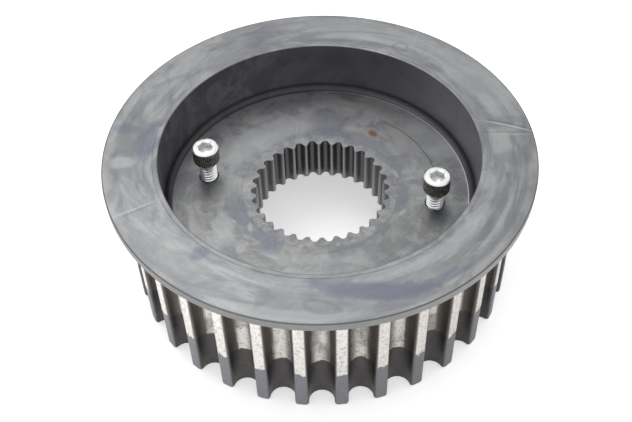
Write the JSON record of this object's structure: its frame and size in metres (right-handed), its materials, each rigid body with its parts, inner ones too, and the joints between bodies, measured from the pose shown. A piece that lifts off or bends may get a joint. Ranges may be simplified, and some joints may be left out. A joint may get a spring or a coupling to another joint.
{
  "type": "timing belt pulley",
  "caption": "Flanged steel toothed belt pulley with a splined bore in a recessed web and socket head lock screws standing part way out.",
  "frame": {"origin": "centre of the open end of the teeth, on the bore axis, at the lowest face that the pulley rests on", "axes": "+Z along the bore axis from the open end of the teeth to the flange; the lock screws lie near the X axis"},
  "size_m": [0.1506, 0.1506, 0.0554],
  "materials": {
    "pulley_steel": "dark oxidised steel, worn bright where the belt runs",
    "flange_steel": "dark blue-grey oxidised steel with stains",
    "screw_zinc": "bright zinc plated, knurled head",
    "thread_patch": "dry grey thread-locking compound"
  },
  "bodies": {
    "pulley": {"toothed_body": "pulley_steel", "belt_flange": "flange_steel"},
    "left_patch": {"thread_patch_left": "thread_patch"},
    "left_screw": {"lock_screw_left": "screw_zinc"},
    "right_patch": {"thread_patch_right": "thread_patch"},
    "right_screw": {"lock_screw_right": "screw_zinc"}
  },
  "joints": [
    {"name": "left_screw_travel", "type": "slide", "parent": "pulley", "child": "left_patch", "axis": [0, 0, 1], "range_m": [-0.0085, 0.006]},
    {"name": "left_screw_turn", "type": "hinge", "parent": "left_patch", "child": "left_screw", "pos_m": [-0.04086, 0.00831, 0.0342], "axis": [0, 0, 1], "range_deg": [-2409.45, 1700.79]},
    {"name": "right_screw_travel", "type": "slide", "parent": "pulley", "child": "right_patch", "axis": [0, 0, 1], "range_m": [-0.0072, 0.0073]},
    {"name": "right_screw_turn", "type": "hinge", "parent": "right_patch", "child": "right_screw", "pos_m": [0.04086, -0.00831, 0.0342], "axis": [0, 0, 1], "range_deg": [-2040.94, 2069.29]}
  ],
  "couplings": [
    {"joint": "left_screw_turn", "follows": "left_screw_travel", "rad_per_m": 4947.4},
    {"joint": "right_screw_turn", "follows": "right_screw_travel", "rad_per_m": 4947.4}
  ]
}
